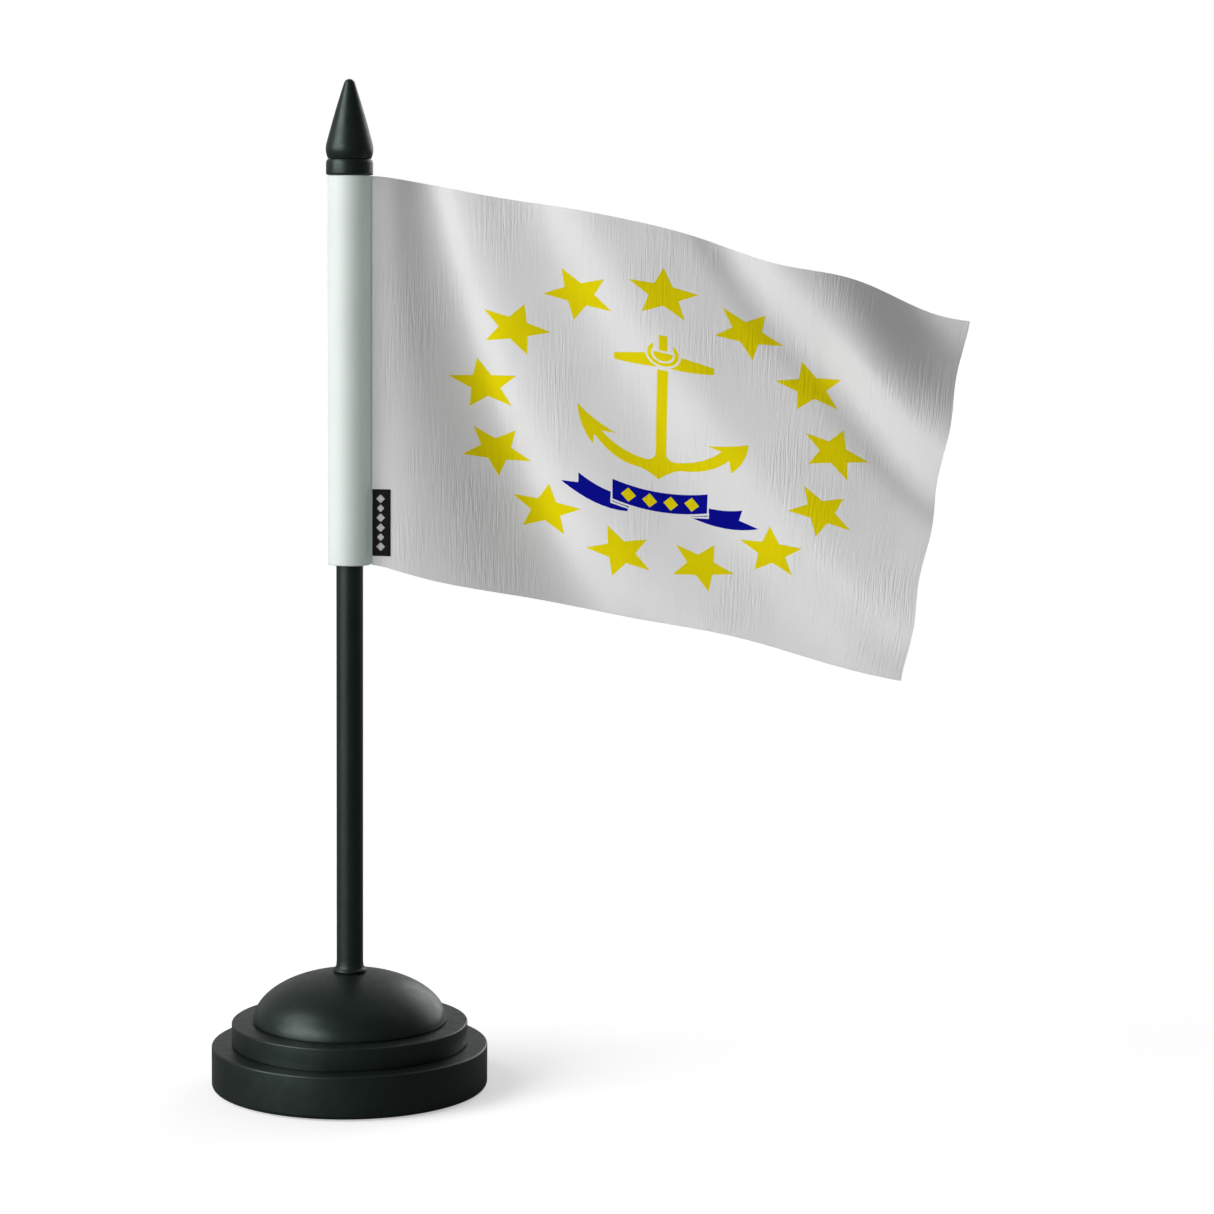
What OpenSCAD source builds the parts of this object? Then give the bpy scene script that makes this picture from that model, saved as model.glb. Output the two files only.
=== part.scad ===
// Desk flag stand: a three-tier weighted base, a plug-in pole, a flag on a swivelling sleeve
// and a pull-off spear finial. Millimetres, +Z up. The origin is the centre of the underside,
// on the pole's axis. The flag flies towards +X and its face looks towards -Y.

/* [Base] */
// Diameter of the bottom tier
plinth_d = 73; // [70:0.5:80]
// Height of the bottom tier's upper face above the table
plinth_top = 11.7; // [11:0.1:14]
// Diameter of the middle tier
step_d = 62.4; // [58:0.2:66]
// Height of the middle tier's upper face above the table
step_top = 17.7; // [16.5:0.1:20]
// Diameter of the dome at its foot
dome_d = 51.2; // [46:0.2:54]
// Rise of the whole dome above the middle tier
dome_rise = 13.4; // [12.4:0.2:16]
// Thickness of the moulded tiers' skirts
wall = 2.2; // [1.6:0.1:3]

/* [Pole] */
// Outer diameter of the pole tube
pole_d = 7; // [6.8:0.1:7.2]
// Diameter of the stud that plugs the pole into the base
stud_d = 5; // [4.6:0.1:5]
// Diameter of the collar at the foot of the pole
collar_d = 8.9; // [8.6:0.1:10]
// Height of the collar and its flare
collar_h = 3.6; // [3:0.1:6]

/* [Flag] */
// Height of the sleeve, which is the hoist of the flag
hoist = 100; // [80:1:110]
// Height of the sleeve's upper end above the table
sleeve_top = 240; // [220:1:300]
// Outer diameter of the sleeve
sleeve_d = 11.3; // [11.2:0.1:12]
// Reach of the hanging flag along its top edge
fly_top = 154; // [120:0.5:170]
// Reach of the hanging flag along its bottom edge
fly_bottom = 138.5; // [110:0.5:160]
// Droop of the fly end at the top edge
droop_top = 36; // [10:1:50]
// Droop of the fly end at the bottom edge
droop_bottom = 28.5; // [10:0.5:45]
// Thickness of the cloth
cloth_t = 0.5; // [0.4:0.1:0.8]

/* [Finial] */
// Height of the spear above its ring
spear_h = 20.4; // [16:0.1:26]
// Largest diameter of the spear
spear_d = 12.26; // [11:0.02:14]
// Height of the ring under the spear
ring_h = 3.9; // [3:0.1:6]
// Diameter of the ring
ring_d = 12.14; // [11:0.02:14]

/* [Hidden] */

$fn = 96;
over = 1;                  // how far a cutter runs past the face that it cuts
running = 0.05;            // radial clearance of a running fit

// Base
pad_t = 1.2;               // foam pad, standing proud of the plinth's rim
rim_gap = 0.4;             // plinth rim above the table
plate_t = 2;
plate_top = pad_t + plate_t;
deck_t = 2.4;              // upper wall of the plinth and of the step
deck_under = plinth_top - deck_t;
plate_r = plinth_d/2 - wall - 0.1;
dome_r = dome_d/2;
flat_r = collar_d/2 + 0.15;                                    // flat on top of the dome
dome_top = step_top + dome_rise*sqrt(1 - pow(flat_r/dome_r, 2));

// Screws through the bottom plate into three bosses
screw_count = 3;
screw_circle_r = 29.6;
screw_r = 1.25;
screw_head_r = 2.4;
screw_head_h = 1.15;
screw_top = deck_under - 1.2;
boss_r = 2.9;

// Clamped stack on the pole's axis
socket_r = 3.6;
socket_flange_r = 4.2;
socket_flange_t = 0.8;
socket_bottom = 5.4;
socket_floor = 8.4;
washer_r = 8;
washer_t = 0.8;
nut_flats = 10;
nut_t = 2.5;
ballast_hole_r = washer_r + 1;
ballast_r = screw_circle_r - boss_r - 1.2;

// Pole
pole_r = pole_d/2;
stud_r = stud_d/2;
stud_bottom = socket_floor + 0.6;
stud_top = dome_top + collar_h + 20;
tube_bottom = dome_top + collar_h;
bush_web = 2;              // the web of the top bush, which rests on the end of the pole
tube_top = sleeve_top - 0.6 - bush_web;

// Sleeve and bushes
sleeve_r = sleeve_d/2;
bush_r = sleeve_r - 0.75;
top_bush_h = 7.4;
bottom_bush_h = 6.4;
sleeve_bottom = sleeve_top - hoist - 0.7;                      // a little longer than the hoist

// Finial
finial_gap = 0.3;          // ring above the swivelling sleeve
ring_bottom = sleeve_top + finial_gap;
ring_top = ring_bottom + ring_h;
pin_r = stud_r - running;
pin_bottom = tube_top - 10;
pin_top = ring_top + 7;
pin_hole_r = stud_r + 0.35;                                    // hole in the top bush
spear_r = spear_d/2;
spear_belly_z = 2.6;       // height of the widest place above the ring
spear_groove_r = spear_r - 0.6;
spear_tip_r = 1.5;

// Cloth
cloth_y = -2;              // plane in which the flag leaves the sleeve's side
hoist_x = sqrt(pow(sleeve_r, 2) - pow(cloth_y + cloth_t/2, 2)) + 0.05;
cloth_cols = 44;
cloth_rows = 20;

// Folds of the cloth: where each one starts along the top edge as a share of the fly,
// how far it steps back (+) or forward (-) there, and the half width of the step
folds = [
    [0.045,  4.6, 0.050],
    [0.118, -4.0, 0.017],
    [0.148, -1.6, 0.028],
    [0.310, -6.8, 0.042],
    [0.550,  1.9, 0.028],
    [0.640, -6.8, 0.034],
    [0.805, 10.6, 0.075],
    [0.880,  4.2, 0.050]
];

// Label beside the sleeve
label_w = 5.2;
label_h = 17.4;
label_t = 0.4;
label_gap = 0.08;
label_cols = 3;
label_rows = 6;
label_x = sleeve_r + 0.1;
label_bottom = sleeve_bottom + 2.5;

base_colour = [0.10, 0.13, 0.12];
pole_colour = [0.12, 0.15, 0.14];
steel_colour = [0.62, 0.63, 0.65];
brass_colour = [0.72, 0.60, 0.32];
iron_colour = [0.30, 0.30, 0.31];
white_colour = [0.86, 0.90, 0.87];
cloth_colour = [0.93, 0.93, 0.93];
label_colour = [0.09, 0.09, 0.09];

// Points along an arc about [x, z] from angle a0 to a1
function arc(x, z, r, a0, a1, n = 6) =
    [for (i = [0:n]) let (a = a0 + (a1 - a0)*i/n) [x + r*cos(a), z + r*sin(a)]];

// Points along the dome's quarter ellipse, from its foot up to the radius stop_r
function dome_curve(a, c, stop_r, n = 28) =
    let (end = acos(stop_r/a))
    [for (i = [0:n]) [a*cos(end*i/n), step_top + c*sin(end*i/n)]];

// A turned disc with rounded lower and upper rims
module turned_disc(r, z0, z1, low, high) {
    rotate_extrude()
        polygon(concat(
            [[0, z0]],
            arc(r - low, z0 + low, low, -90, 0),
            arc(r - high, z1 - high, high, 0, 90),
            [[0, z1]]
        ));
}

module tube(outer, inner, z0, z1) {
    difference() {
        translate([0, 0, z0]) cylinder(r = outer, h = z1 - z0);
        translate([0, 0, z0 - over]) cylinder(r = inner, h = z1 - z0 + 2*over);
    }
}

module around_screws() {
    for (i = [0:screw_count - 1])
        rotate([0, 0, 90 + i*360/screw_count]) translate([screw_circle_r, 0, 0]) children();
}

// --- Base ---

module base_plinth() {
    color(base_colour) difference() {
        union() {
            difference() {
                turned_disc(plinth_d/2, rim_gap, plinth_top, 1, 0.8);
                cylinder(r = plate_r, h = deck_under);
            }
            around_screws() translate([0, 0, plate_top]) cylinder(r = boss_r, h = deck_under - plate_top + 0.5);
        }
        around_screws() cylinder(r = screw_r, h = screw_top);
        cylinder(r = socket_r, h = plinth_top + over);
    }
}

module base_step() {
    color(base_colour) difference() {
        turned_disc(step_d/2, plinth_top, step_top, 0.3, 0.6);
        difference() {
            translate([0, 0, plinth_top - over]) cylinder(r = step_d/2 - wall, h = step_top - plinth_top - deck_t + over);
            cylinder(r = washer_r, h = step_top);
        }
        cylinder(r = socket_r, h = step_top + over);
    }
}

module base_dome() {
    boss = 6.2;
    color(base_colour) difference() {
        rotate_extrude() polygon(concat([[0, step_top]], dome_curve(dome_r, dome_rise, flat_r), [[0, dome_top]]));
        difference() {
            rotate_extrude() polygon(concat(
                [[0, step_top - over], [dome_r - wall, step_top - over]],
                dome_curve(dome_r - wall, dome_rise - wall, boss - 1),
                [[0, step_top + dome_rise - wall - 0.5]]
            ));
            translate([0, 0, step_top - 2*over]) cylinder(r = boss, h = dome_rise);
        }
        translate([0, 0, step_top - over]) cylinder(r = socket_r, h = dome_rise + over);
        translate([0, 0, dome_top - socket_flange_t]) cylinder(r = socket_flange_r, h = 2);
    }
}

// Flanged tube whose flange bears on the dome; its threaded end takes the nut
module pole_socket() {
    color(brass_colour) difference() {
        union() {
            translate([0, 0, socket_bottom]) cylinder(r = socket_r, h = dome_top - socket_bottom);
            translate([0, 0, dome_top - socket_flange_t]) cylinder(r = socket_flange_r, h = socket_flange_t);
        }
        translate([0, 0, socket_floor]) cylinder(r = stud_r + running, h = dome_top);
    }
}

module socket_washer() {
    color(steel_colour) tube(washer_r, socket_r, deck_under - washer_t, deck_under);
}

module socket_nut() {
    z0 = deck_under - washer_t - nut_t;
    color(steel_colour) difference() {
        translate([0, 0, z0]) cylinder(d = nut_flats/cos(30), h = nut_t, $fn = 6);
        translate([0, 0, z0 - over]) cylinder(r = socket_r, h = nut_t + 2*over);
    }
}

module ballast_ring() {
    color(iron_colour) tube(ballast_r, ballast_hole_r, plate_top, deck_under);
}

module bottom_plate() {
    color(pole_colour) difference() {
        translate([0, 0, pad_t]) cylinder(r = plate_r, h = plate_t);
        around_screws() {
            cylinder(r = screw_r, h = plate_top + over);
            translate([0, 0, pad_t]) cylinder(r1 = screw_head_r, r2 = screw_r, h = screw_head_h);
        }
    }
}

module plate_screws() {
    slot_w = 0.5;
    slot_l = 2.6;
    slot_depth = 0.7;
    color(steel_colour) around_screws() difference() {
        union() {
            translate([0, 0, pad_t]) cylinder(r1 = screw_head_r, r2 = screw_r, h = screw_head_h);
            translate([0, 0, pad_t]) cylinder(r = screw_r, h = screw_top - pad_t);
        }
        for (turn = [0, 90])
            rotate([0, 0, turn]) translate([-slot_l/2, -slot_w/2, pad_t - over]) cube([slot_l, slot_w, slot_depth + over]);
    }
}

module base_pad() {
    color([0.06, 0.06, 0.06]) cylinder(r = plate_r - 0.4, h = pad_t);
}

// --- Pole ---

// Stud pressed into the pole; its lower half plugs into the base
module pole_stud() {
    tip = 0.6;
    color(steel_colour) {
        translate([0, 0, stud_bottom]) cylinder(r1 = stud_r - tip, r2 = stud_r, h = tip);
        translate([0, 0, stud_bottom + tip]) cylinder(r = stud_r, h = stud_top - stud_bottom - tip);
    }
}

// Rounded lip with a flare that runs up to the pole's own diameter
module pole_collar() {
    lip_r = collar_d/2;
    lip_h = 1.1;
    neck = lip_h - 0.1;
    flare_run = 0.42;
    color(pole_colour) rotate_extrude() polygon(concat(
        [[stud_r, dome_top], [lip_r - 0.4, dome_top]],
        arc(lip_r - lip_h/2 + 0.05, dome_top + lip_h/2, lip_h/2 - 0.05, -70, 80),
        [for (i = [0:8]) let (a = 90*i/8)
            [pole_r + flare_run*(1 - sin(a)), dome_top + neck + (collar_h - neck)*(1 - cos(a))]],
        [[stud_r, dome_top + collar_h]]
    ));
}

module pole_tube() {
    color(pole_colour) tube(pole_r, stud_r, tube_bottom, tube_top);
}

// --- Finial ---

module finial_pin() {
    tip = 0.6;
    color(steel_colour) {
        translate([0, 0, pin_bottom]) cylinder(r1 = pin_r - tip, r2 = pin_r, h = tip);
        translate([0, 0, pin_bottom + tip]) cylinder(r = pin_r, h = pin_top - pin_bottom - tip);
    }
}

module finial_ring() {
    r = ring_d/2;
    low = 0.8;
    high = 1.3;
    color(base_colour) rotate_extrude() polygon(concat(
        [[pin_r, ring_bottom]],
        arc(r - low, ring_bottom + low, low, -90, 0),
        [for (i = [0:6]) let (a = 90*i/6) [r - 0.55*(1 - cos(a)), ring_top - high*(1 - sin(a))]],
        [[pin_r, ring_top]]
    ));
}

// Teardrop: a round belly, a nearly straight flank and a rounded tip
module finial_spear() {
    belly_r = 5.7;
    flank = 16;            // angle of the flank from the axis
    belly_x = spear_r - belly_r;
    belly = ring_top + spear_belly_z;
    tip = ring_top + spear_h - spear_tip_r;
    color(base_colour) difference() {
        rotate_extrude() polygon(concat(
            [[0, ring_top], [spear_groove_r, ring_top]],
            arc(belly_x, belly, belly_r, -24, flank, 10),
            arc(0, tip, spear_tip_r, flank, 90, 8)
        ));
        translate([0, 0, ring_top - over]) cylinder(r = pin_r, h = pin_top - ring_top + over);
    }
}

// --- Flag ---

module flag_sleeve() {
    edge = 0.3;
    color(white_colour) rotate_extrude() polygon(concat(
        [[bush_r, sleeve_bottom]],
        arc(sleeve_r - edge, sleeve_bottom + edge, edge, -90, 0, 4),
        arc(sleeve_r - edge, sleeve_top - edge, edge, 0, 90, 4),
        [[bush_r, sleeve_top]]
    ));
}

// Bearing cap: its web rests on the end of the pole tube and carries the sleeve
module top_bush() {
    color(white_colour) difference() {
        translate([0, 0, tube_top + bush_web - top_bush_h]) cylinder(r = bush_r, h = top_bush_h);
        translate([0, 0, tube_top - top_bush_h]) cylinder(r = pole_r + running, h = top_bush_h);
        translate([0, 0, tube_top - over]) cylinder(r = pin_hole_r, h = bush_web + 2*over);
    }
}

module bottom_bush() {
    z0 = sleeve_bottom + 0.6;
    color(white_colour) tube(bush_r, pole_r + running, z0, z0 + bottom_bush_h);
}

// Smooth step from 0 to 1 about x = 0, about three units wide
function step_up(x) = 1/(1 + exp(-2*x));

// Sum of the folds' steps at the fan coordinate a
function fold_sum(a, i = 0) =
    i == len(folds) ? 0 :
    folds[i][1]*(step_up((a - folds[i][0])/folds[i][2]) - step_up(-folds[i][0]/folds[i][2]))
        + fold_sum(a, i + 1);

// The folds fan out from the hoist's top corner: spread grows from 1 at the top edge to 2.6
function spread(v) = 1 + v + 0.6*v*v;
function fan(u, v) = (u - 0.05*v - 0.1*v*v)/(spread(v) + 0.35*pow(v, 8));
function calm(u) = 1 - exp(-pow(u/0.05, 2));                    // flattens the folds at the hoist

// Height of the top and bottom edges below the sleeve's two ends
function top_edge(u) = -droop_top*u + 4.5*sin(180*u) + 1.3*pow(u, 2.2)*sin(1350*u + 95)
    + 0.65*sin(180*u)*cos(818*(u - 0.42));
function bottom_edge(u) = -droop_bottom*u + 0.5*sin(180*u) - 0.8*sin(450*u) - 0.35*sin(900*u);
function fly_wave(u, v) = -0.44*pow(u, 4)*sin(1280*v - 106);

// A point of the cloth: u runs along the fly and v down the hoist, both from 0 to 1
function cloth(u, v) = [
    hoist_x + u*(fly_top*(1 - v) + fly_bottom*v) + fly_wave(u, v),
    cloth_y + calm(u)*(spread(v)*fold_sum(fan(u, v)) - 4*u*pow(v, 4)),
    sleeve_top - v*hoist + (1 - v)*top_edge(u) + v*bottom_edge(u)
];

// Points of one face of the cloth, half a thickness off its middle
function cloth_face(side) = [
    for (j = [0:cloth_rows], i = [0:cloth_cols])
        cloth(i/cloth_cols, j/cloth_rows) + [0, side*cloth_t/2, 0]
];

// A thin sheet of cols by rows cells: its points run along each row, front face first, then the back
module sheet(points, cols, rows) {
    function at(i, j, k) = (k*(rows + 1) + j)*(cols + 1) + i;
    front = [for (j = [0:rows - 1], i = [0:cols - 1])
        [at(i, j, 0), at(i + 1, j, 0), at(i + 1, j + 1, 0), at(i, j + 1, 0)]];
    back = [for (j = [0:rows - 1], i = [0:cols - 1])
        [at(i, j, 1), at(i, j + 1, 1), at(i + 1, j + 1, 1), at(i + 1, j, 1)]];
    top = [for (i = [0:cols - 1]) [at(i, 0, 0), at(i, 0, 1), at(i + 1, 0, 1), at(i + 1, 0, 0)]];
    bottom = [for (i = [0:cols - 1])
        [at(i, rows, 0), at(i + 1, rows, 0), at(i + 1, rows, 1), at(i, rows, 1)]];
    inner = [for (j = [0:rows - 1]) [at(0, j, 0), at(0, j + 1, 0), at(0, j + 1, 1), at(0, j, 1)]];
    outer = [for (j = [0:rows - 1])
        [at(cols, j, 0), at(cols, j, 1), at(cols, j + 1, 1), at(cols, j + 1, 0)]];
    polyhedron(points = points, faces = concat(front, back, top, bottom, inner, outer));
}

module flag_cloth() {
    color(cloth_colour) sheet(concat(cloth_face(-1), cloth_face(1)), cloth_cols, cloth_rows);
}

// A point of the label, which lies on the front of the cloth, off is its distance from the cloth
function label_point(i, j, off) =
    let (
        x = label_x + label_w*i/label_cols,
        z = label_bottom + label_h*(1 - j/label_rows),
        v = (sleeve_top - z)/hoist,
        u = (x - hoist_x)/(fly_top*(1 - v) + fly_bottom*v)
    )
    [x, cloth(u, v)[1] - cloth_t/2 - off, z];

function label_face(off) =
    [for (j = [0:label_rows], i = [0:label_cols]) label_point(i, j, off)];

module label_tab() {
    color(label_colour)
        sheet(concat(label_face(label_gap + label_t), label_face(label_gap)), label_cols, label_rows);
}

base_plinth();
base_step();
base_dome();
pole_socket();
socket_washer();
socket_nut();
ballast_ring();
bottom_plate();
plate_screws();
base_pad();
pole_stud();
pole_collar();
pole_tube();
finial_pin();
finial_ring();
finial_spear();
flag_sleeve();
top_bush();
bottom_bush();
flag_cloth();
label_tab();
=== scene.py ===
"""Desk flag stand: the looks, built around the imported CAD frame.

Sizes are in millimetres unless a name says otherwise, and turn into metres where a mesh is made.
+Z is up, the flag flies towards +X and its face looks towards -Y.
"""

import math

import bpy
import numpy as np
from mathutils import Euler, Matrix, Vector
from mathutils.geometry import delaunay_2d_cdt


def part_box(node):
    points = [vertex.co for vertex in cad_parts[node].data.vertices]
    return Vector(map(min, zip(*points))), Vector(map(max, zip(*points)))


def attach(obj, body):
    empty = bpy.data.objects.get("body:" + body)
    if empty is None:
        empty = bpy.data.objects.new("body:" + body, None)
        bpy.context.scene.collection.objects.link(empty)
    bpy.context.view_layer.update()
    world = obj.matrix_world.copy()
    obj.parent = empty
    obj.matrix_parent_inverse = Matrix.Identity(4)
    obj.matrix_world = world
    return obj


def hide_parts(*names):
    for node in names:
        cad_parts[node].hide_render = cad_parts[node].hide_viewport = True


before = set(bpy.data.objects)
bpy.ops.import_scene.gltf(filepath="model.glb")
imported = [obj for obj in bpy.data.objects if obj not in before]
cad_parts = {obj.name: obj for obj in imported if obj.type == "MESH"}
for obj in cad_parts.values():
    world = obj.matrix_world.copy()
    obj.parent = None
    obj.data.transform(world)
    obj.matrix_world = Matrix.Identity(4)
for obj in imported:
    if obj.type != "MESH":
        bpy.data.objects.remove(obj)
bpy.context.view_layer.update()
MM = 0.001


def node_box(name):
    """Lowest and highest corner of a CAD node, in millimetres."""
    low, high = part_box(name)
    return low / MM, high / MM


# ---------------------------------------------------------------- sizes, from the frame

PLINTH_LOW, PLINTH_HIGH = node_box("base_plinth")
STEP_LOW, STEP_HIGH = node_box("base_step")
DOME_LOW, DOME_HIGH = node_box("base_dome")
COLLAR_LOW, COLLAR_HIGH = node_box("pole_collar")
TUBE_LOW, TUBE_HIGH = node_box("pole_tube")
SLEEVE_LOW, SLEEVE_HIGH = node_box("flag_sleeve")
RING_HIGH = node_box("finial_ring")[1]
SPEAR_LOW, SPEAR_HIGH = node_box("finial_spear")

SLEEVE_R = SLEEVE_HIGH.x
POLE_R = TUBE_HIGH.x
STUD_R = 2.5  # steel stud in the pole's foot
PIN_R = 2.45  # steel pin in the finial
HOIST = 100.5  # the cloth is a little taller than the sleeve
FLY = 162.0  # flat length of the cloth, clear of the sleeve
CLOTH_TOP = SLEEVE_HIGH.z - 0.1
CLOTH_T = 0.16

# ---------------------------------------------------------------- camera and light

CAMERA_AT = (67.3, -850.0, 227.6)
CAMERA_PITCH = 6.64  # degrees below the horizon
CAMERA_ROLL = 0.5
CAMERA_LENS = 97.0


def make_camera():
    data = bpy.data.cameras.new("camera")
    data.lens = CAMERA_LENS
    data.sensor_width = 36.0
    data.clip_start = 0.01
    cam = bpy.data.objects.new("camera", data)
    bpy.context.scene.collection.objects.link(cam)
    look = Euler((math.radians(90 - CAMERA_PITCH), 0, 0)).to_matrix()
    roll = Matrix.Rotation(math.radians(CAMERA_ROLL), 3, "Z")
    cam.matrix_world = Matrix.Translation(Vector(CAMERA_AT) * MM) @ (look @ roll).to_4x4()
    bpy.context.scene.camera = cam


def far_light(name, from_direction, width, strength):
    """A far, soft, round light; width is how many degrees of the sky it fills."""
    data = bpy.data.lights.new(name, "SUN")
    data.angle = math.radians(width)
    data.energy = strength
    lamp = bpy.data.objects.new(name, data)
    bpy.context.scene.collection.objects.link(lamp)
    lamp.rotation_euler = (-Vector(from_direction)).to_track_quat("-Z", "Y").to_euler()


def make_lights():
    far_light("left_light", (-0.72, -0.18, 0.67), 34, 1.0)
    far_light("front_light", (-0.80, -0.59, 0.12), 55, 3.8)
    far_light("back_light", (0.55, 0.80, 0.25), 50, 0.9)


def make_world():
    """A white room: full white to the camera, and a softer light that is brighter from the back."""
    world = bpy.data.worlds.new("world")
    bpy.context.scene.world = world
    world.use_nodes = True
    tree = world.node_tree
    nodes, links = tree.nodes, tree.links
    where = nodes.new("ShaderNodeTexCoord")
    split = nodes.new("ShaderNodeSeparateXYZ")
    links.new(where.outputs["Generated"], split.inputs["Vector"])
    ramp = nodes.new("ShaderNodeMapRange")
    ramp.inputs["From Min"].default_value = -0.1
    ramp.inputs["From Max"].default_value = 0.7
    ramp.inputs["To Min"].default_value = 0.12
    ramp.inputs["To Max"].default_value = 0.4
    links.new(split.outputs["Y"], ramp.inputs["Value"])
    room = nodes["Background"]
    room.inputs["Color"].default_value = (1, 1, 1, 1)
    links.new(ramp.outputs["Result"], room.inputs["Strength"])
    seen = nodes.new("ShaderNodeBackground")
    seen.inputs["Color"].default_value = (1, 1, 1, 1)
    path = nodes.new("ShaderNodeLightPath")
    either = nodes.new("ShaderNodeMixShader")
    links.new(path.outputs["Is Camera Ray"], either.inputs["Fac"])
    links.new(room.outputs["Background"], either.inputs[1])
    links.new(seen.outputs["Background"], either.inputs[2])
    links.new(either.outputs["Shader"], nodes["World Output"].inputs["Surface"])
    bpy.context.scene.view_settings.view_transform = "Standard"


# ---------------------------------------------------------------- materials


class Shader:
    """A node material under construction: a Principled shader, and short calls that add to it."""

    def __init__(self, name, colour, roughness, **sockets):
        self.material = bpy.data.materials.new(name)
        self.material.use_nodes = True
        self.tree = self.material.node_tree
        self.surface = self.tree.nodes["Principled BSDF"]
        self.set("Base Color", (*colour, 1))
        self.set("Roughness", roughness)
        for socket, value in sockets.items():
            self.set(socket.replace("_", " "), value)

    def set(self, socket, value):
        self.surface.inputs[socket].default_value = value

    def add(self, kind, **inputs):
        node = self.tree.nodes.new(kind)
        for socket, value in inputs.items():
            self.feed(node, socket.replace("_", " "), value)
        return node

    def feed(self, node, socket, value):
        """Links an output, or sets a plain value."""
        if isinstance(value, bpy.types.NodeSocket):
            self.tree.links.new(value, node.inputs[socket])
        else:
            node.inputs[socket].default_value = value

    def object_space(self, scale=(1, 1, 1)):
        """Object coordinates in metres, stretched by a scale."""
        where = self.add("ShaderNodeTexCoord").outputs["Object"]
        return self.add("ShaderNodeMapping", Vector=where, Scale=scale).outputs["Vector"]

    def flat_space(self, scale=(1, 1, 1)):
        """The cloth's own flat coordinates in millimetres, stretched by a scale."""
        where = self.add("ShaderNodeTexCoord").outputs["UV"]
        return self.add("ShaderNodeMapping", Vector=where, Scale=scale).outputs["Vector"]

    def noise(self, vector, scale, detail=3.0, roughness=0.55, distortion=0.0):
        node = self.add(
            "ShaderNodeTexNoise", Vector=vector, Scale=scale, Detail=detail, Roughness=roughness
        )
        node.inputs["Distortion"].default_value = distortion
        return node.outputs["Fac"]

    def span(self, value, low, high, start=0.3, end=0.7):
        """Maps a noise value from start..end to low..high."""
        node = self.add("ShaderNodeMapRange", Value=value)
        node.inputs["From Min"].default_value = start
        node.inputs["From Max"].default_value = end
        node.inputs["To Min"].default_value = low
        node.inputs["To Max"].default_value = high
        return node.outputs["Result"]

    def math(self, operation, a, b=0.0):
        node = self.tree.nodes.new("ShaderNodeMath")
        node.operation = operation
        for i, value in enumerate((a, b)):
            if isinstance(value, bpy.types.NodeSocket):
                self.tree.links.new(value, node.inputs[i])
            else:
                node.inputs[i].default_value = value
        return node.outputs["Value"]

    def blend(self, factor, first, second):
        """A colour between first and second."""
        node = self.tree.nodes.new("ShaderNodeMix")
        node.data_type = "RGBA"
        self.feed(node, "Factor", factor)
        node.inputs[6].default_value = (*first, 1)
        node.inputs[7].default_value = (*second, 1)
        return node.outputs[2]

    def bump(self, height, strength, distance_mm, normal=None):
        node = self.add("ShaderNodeBump", Height=height)
        node.inputs["Strength"].default_value = strength
        node.inputs["Distance"].default_value = distance_mm * MM
        if normal is not None:
            self.tree.links.new(normal, node.inputs["Normal"])
        return node.outputs["Normal"]

    def link(self, socket, value):
        self.tree.links.new(value, self.surface.inputs[socket])


def dark_gloss(name, colour, roughness):
    """Moulded, very dark green-black plastic with a satin skin."""
    s = Shader(name, colour, roughness, Specular_IOR_Level=0.42, Specular_Tint=(0.80, 1.0, 0.93, 1))
    where = s.object_space()
    mottle = s.noise(where, 90.0, detail=4.0)
    lighter = tuple(min(1.0, c * 1.35 + 0.002) for c in colour)
    s.link("Base Color", s.blend(s.span(mottle, 0.0, 1.0), colour, lighter))
    skin = s.noise(where, 420.0, detail=2.0)
    s.link("Roughness", s.span(skin, roughness - 0.04, roughness + 0.06))
    grain = s.noise(where, 2600.0, detail=2.0)
    s.link("Normal", s.bump(grain, 0.25, 0.02))
    return s.material


def smooth_plastic(name, colour, roughness, painted_glow=0.0):
    """Pale plastic. Its emission is painted light: a faint greenish glow that lifts the shaded side,
    standing in for the light that spreads inside a translucent wall.
    """
    s = Shader(name, colour, roughness, Specular_IOR_Level=0.25, Emission_Strength=painted_glow)
    # painted light: the greenish colour of the glow that lifts the shaded side
    s.set("Emission Color", (0.76, 1.0, 0.86, 1))
    where = s.object_space()
    tint = s.noise(where, 60.0)
    darker = tuple(c * 0.94 for c in colour)
    s.link("Base Color", s.blend(s.span(tint, 0.0, 1.0), colour, darker))
    s.link("Roughness", s.span(s.noise(where, 300.0), roughness - 0.05, roughness + 0.06))
    s.link("Normal", s.bump(s.noise(where, 1800.0), 0.15, 0.02))
    return s.material


def turned_metal(name, colour, roughness):
    """Metal with fine rings round the pole's axis."""
    s = Shader(name, colour, roughness, Metallic=1.0)
    rings = s.noise(s.object_space((1, 1, 60)), 120.0, detail=4.0)
    s.link("Roughness", s.span(rings, roughness - 0.08, roughness + 0.12))
    s.link("Normal", s.bump(rings, 0.25, 0.03))
    return s.material


def cast_iron():
    bare, rusty = (0.07, 0.07, 0.075), (0.13, 0.075, 0.05)
    s = Shader("cast_iron", bare, 0.72, Metallic=0.6)
    where = s.object_space()
    rust = s.span(s.noise(where, 150.0, detail=6.0), 0.0, 0.6, 0.45, 0.75)
    s.link("Base Color", s.blend(rust, bare, rusty))
    s.link("Normal", s.bump(s.noise(where, 900.0, detail=5.0), 0.8, 0.15))
    return s.material


def foam():
    """Closed-cell foam: small round cells, and a dull skin."""
    s = Shader("pad_foam", (0.018, 0.018, 0.018), 0.92)
    where = s.object_space()
    cells = s.add("ShaderNodeTexVoronoi", Vector=where, Scale=1400.0).outputs["Distance"]
    wall, hollow = (0.03, 0.03, 0.03), (0.012, 0.012, 0.012)
    s.link("Base Color", s.blend(s.span(cells, 0.0, 1.0, 0.1, 0.6), wall, hollow))
    s.link("Normal", s.bump(cells, 0.9, 0.12))
    return s.material


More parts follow.
